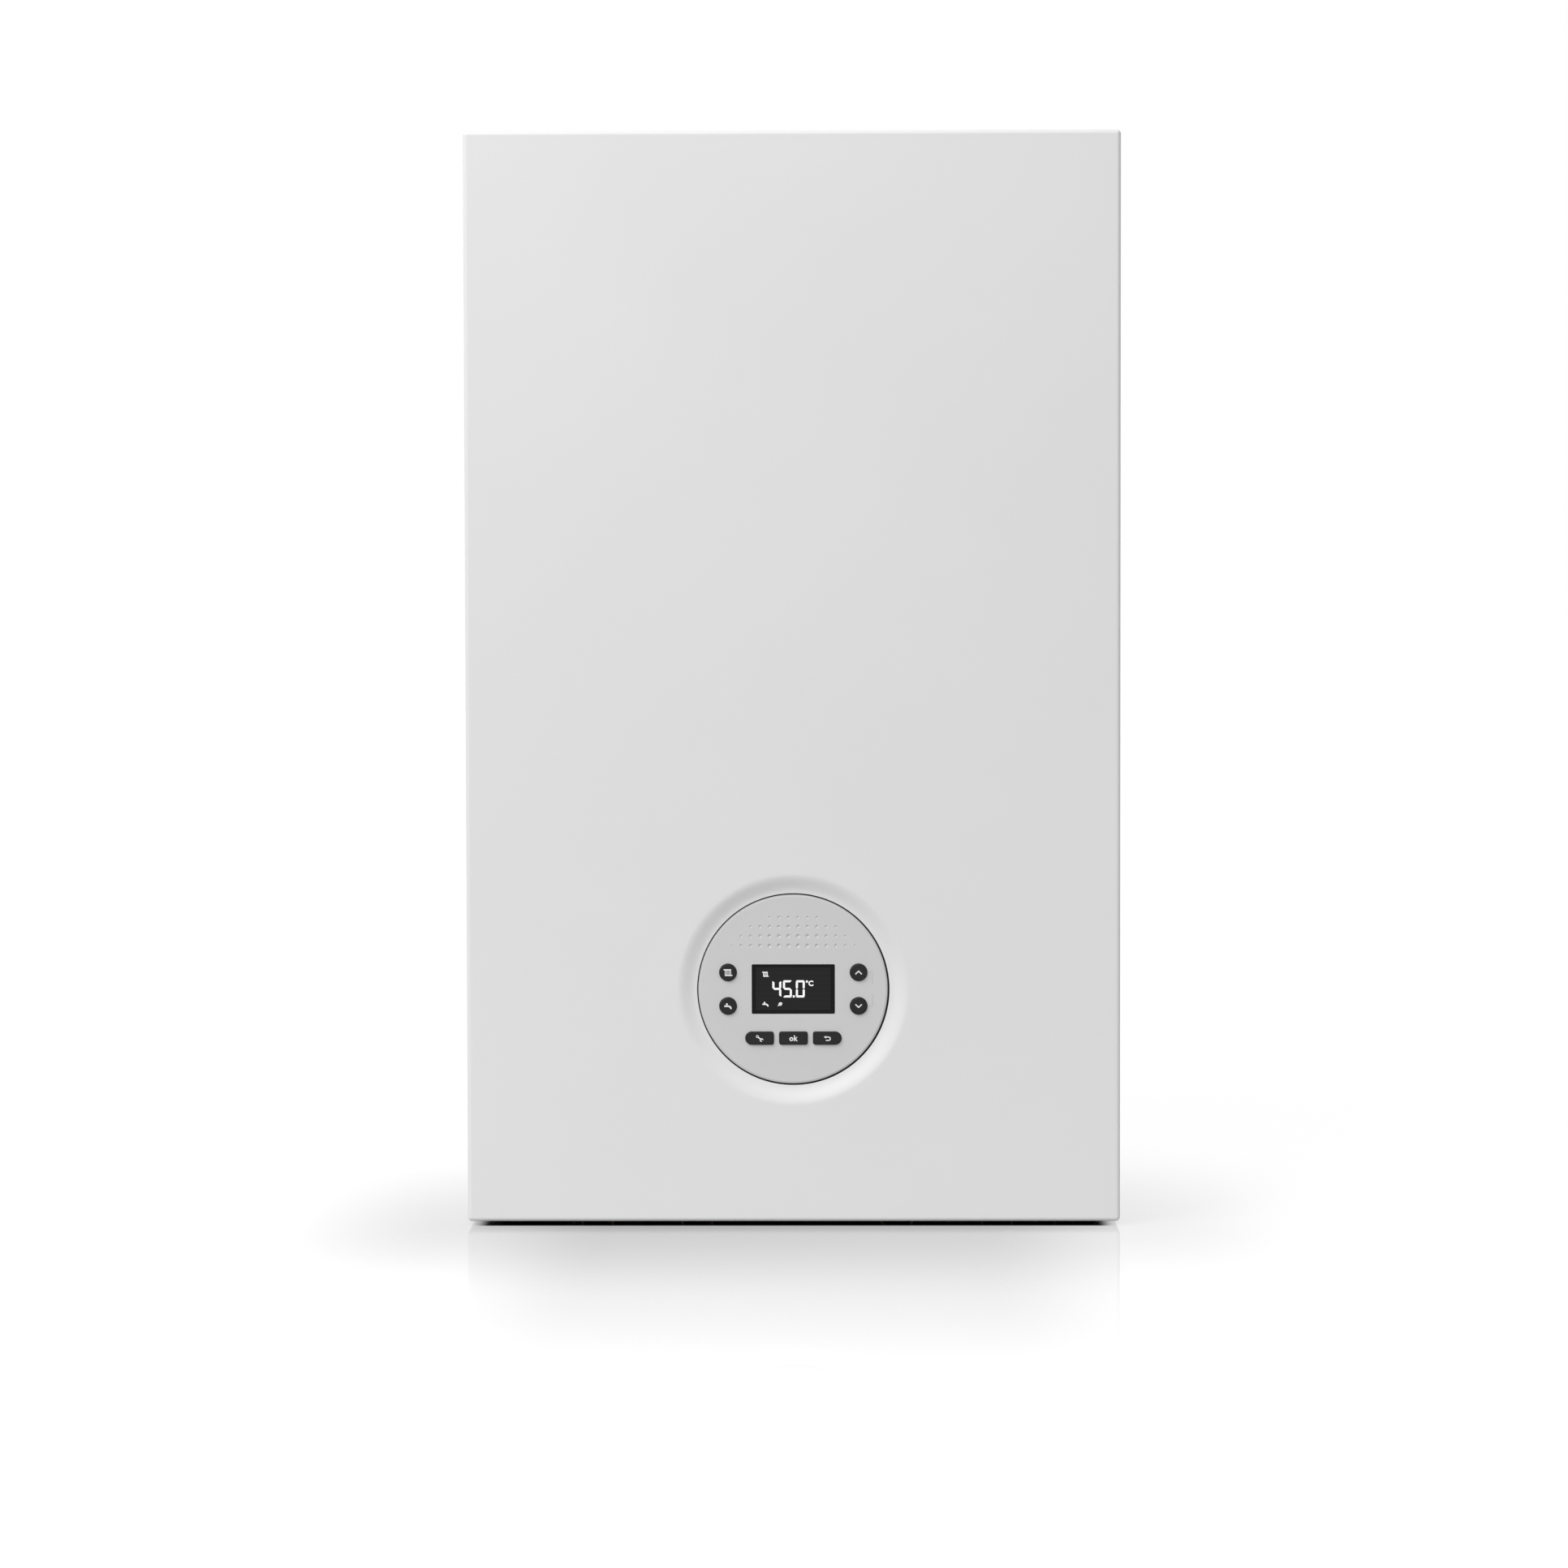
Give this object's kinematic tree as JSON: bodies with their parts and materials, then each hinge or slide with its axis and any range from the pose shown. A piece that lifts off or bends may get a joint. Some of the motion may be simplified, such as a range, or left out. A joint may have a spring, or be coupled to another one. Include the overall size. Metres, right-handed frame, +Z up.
{
  "type": "combi boiler",
  "caption": "Wall-hung combi boiler: white rounded case with a round recessed control fascia, over a steel chassis with its burner, fan, pump and water valves.",
  "frame": {"origin": "on the wall plane, at the middle of the hanging bracket's back face", "axes": "+X to the right seen from the front, +Y towards the wall, +Z up"},
  "size_m": [0.4, 0.3, 0.668],
  "materials": {
    "white_enamel": "white baked enamel, satin gloss",
    "zinc_steel": "zinc-coated sheet",
    "stainless": "stainless, as drawn",
    "cast_aluminium": "as cast",
    "copper": "bright copper pipe",
    "brass": "forged and machined",
    "red_paint": "gloss paint",
    "grey_plastic": "fine moulded texture",
    "grey_pipe": "smooth",
    "dark_plastic": "fine moulded texture",
    "black_rubber": "matt",
    "board_green": "solder mask",
    "smoked_lens": "polished",
    "pale_fibre": "pressed fibre and fired ceramic",
    "red_plastic": "moulded"
  },
  "bodies": {
    "chassis": {"wall_bracket": "zinc_steel", "back_panel": "zinc_steel", "left_panel": "zinc_steel", "right_panel": "zinc_steel", "top_plate": "zinc_steel", "bottom_plate": "zinc_steel", "support_rail": "zinc_steel", "exchanger_shell": "stainless", "exchanger_coil": "stainless", "burner_tube": "stainless", "plate_exchanger": "stainless", "hinge_pin_left": "stainless", "hinge_pin_right": "stainless", "burner_door": "cast_aluminium", "fan_housing": "cast_aluminium", "gas_valve": "cast_aluminium", "flue_collar": "cast_aluminium", "pump_motor": "cast_aluminium", "gas_pipe_lower": "copper", "gas_pipe_upper": "copper", "flow_pipe": "copper", "return_pipe": "copper", "vessel_pipe": "copper", "flow_block": "brass", "return_block": "brass", "relief_valve": "brass", "filling_valve": "brass", "expansion_vessel": "red_paint", "condensate_trap": "grey_plastic", "flue_duct": "grey_pipe", "condensate_pipe": "grey_pipe", "fan_motor": "dark_plastic", "venturi": "dark_plastic", "diverter_motor": "dark_plastic", "pressure_gauge": "dark_plastic", "cable_gland": "dark_plastic", "door_insulation": "pale_fibre", "electrode_set": "pale_fibre"},
    "case": {"outer_case": "white_enamel"},
    "case_screw_left": {"case_screw_left": "stainless"},
    "case_screw_right": {"case_screw_right": "stainless"},
    "control_box": {"control_tray": "dark_plastic", "control_lid": "dark_plastic", "main_board": "board_green", "display_board": "board_green", "display_window": "smoked_lens", "fascia": "grey_plastic"},
    "fan_wheel": {"fan_impeller": "dark_plastic"},
    "pump_wheel": {"pump_impeller": "grey_plastic"},
    "diverter": {"diverter_stem": "brass"},
    "relief_cap": {"relief_knob": "red_plastic"},
    "filling_lever": {"filling_lever": "dark_plastic"},
    "gauge_pointer": {"gauge_needle": "red_plastic"},
    "radiator_button": {"radiator_button": "black_rubber"},
    "tap_button": {"tap_button": "black_rubber"},
    "up_button": {"up_button": "black_rubber"},
    "down_button": {"down_button": "black_rubber"},
    "service_button": {"service_button": "black_rubber"},
    "ok_button": {"ok_button": "black_rubber"},
    "back_button": {"back_button": "black_rubber"}
  },
  "joints": [
    {"name": "case_slide", "type": "slide", "parent": "chassis", "child": "case", "axis": [0, -1, 0], "range_m": [0, 0.48]},
    {"name": "control_box_tilt", "type": "hinge", "parent": "chassis", "child": "control_box", "pos_m": [0, -0.281, -0.566], "axis": [1, 0, 0], "range_deg": [0, 90]},
    {"name": "case_screw_left_turn", "type": "hinge", "parent": "case", "child": "case_screw_left", "pos_m": [-0.182, -0.286, -0.595], "axis": [0, 0, 1], "range_deg": [0, 90]},
    {"name": "case_screw_right_turn", "type": "hinge", "parent": "case", "child": "case_screw_right", "pos_m": [0.182, -0.286, -0.595], "axis": [0, 0, 1], "range_deg": [0, 90]},
    {"name": "radiator_button_press", "type": "slide", "parent": "control_box", "child": "radiator_button", "axis": [0, 1, 0], "range_m": [0, 0.001], "stiffness_N_per_m": 400, "springref_m": -0.001},
    {"name": "tap_button_press", "type": "slide", "parent": "control_box", "child": "tap_button", "axis": [0, 1, 0], "range_m": [0, 0.001], "stiffness_N_per_m": 400, "springref_m": -0.001},
    {"name": "up_button_press", "type": "slide", "parent": "control_box", "child": "up_button", "axis": [0, 1, 0], "range_m": [0, 0.001], "stiffness_N_per_m": 400, "springref_m": -0.001},
    {"name": "down_button_press", "type": "slide", "parent": "control_box", "child": "down_button", "axis": [0, 1, 0], "range_m": [0, 0.001], "stiffness_N_per_m": 400, "springref_m": -0.001},
    {"name": "service_button_press", "type": "slide", "parent": "control_box", "child": "service_button", "axis": [0, 1, 0], "range_m": [0, 0.001], "stiffness_N_per_m": 400, "springref_m": -0.001},
    {"name": "ok_button_press", "type": "slide", "parent": "control_box", "child": "ok_button", "axis": [0, 1, 0], "range_m": [0, 0.001], "stiffness_N_per_m": 400, "springref_m": -0.001},
    {"name": "back_button_press", "type": "slide", "parent": "control_box", "child": "back_button", "axis": [0, 1, 0], "range_m": [0, 0.001], "stiffness_N_per_m": 400, "springref_m": -0.001},
    {"name": "fan_spin", "type": "hinge", "parent": "chassis", "child": "fan_wheel", "pos_m": [-0.095, -0.245, -0.23], "axis": [0, 1, 0], "continuous": true},
    {"name": "pump_spin", "type": "hinge", "parent": "chassis", "child": "pump_wheel", "pos_m": [0.115, -0.122, -0.47], "axis": [0, 1, 0], "continuous": true},
    {"name": "diverter_travel", "type": "slide", "parent": "chassis", "child": "diverter", "axis": [0, 0, 1], "range_m": [0, 0.005], "stiffness_N_per_m": 500, "springref_m": -0.004},
    {"name": "relief_cap_turn", "type": "hinge", "parent": "chassis", "child": "relief_cap", "pos_m": [0.174, -0.13, -0.538], "axis": [0, 1, 0], "range_deg": [0, 90]},
    {"name": "filling_lever_turn", "type": "hinge", "parent": "chassis", "child": "filling_lever", "pos_m": [0.0975, -0.16, -0.59], "axis": [0, 0, 1], "range_deg": [0, 90]},
    {"name": "gauge_pointer_sweep", "type": "hinge", "parent": "chassis", "child": "gauge_pointer", "pos_m": [-0.16, -0.165, -0.583], "axis": [0, 0, 1], "range_deg": [-80, 190]}
  ],
  "couplings": [
    {"joint": "control_box_tilt", "follows": "case_slide", "rad_per_m": 3.272}
  ]
}
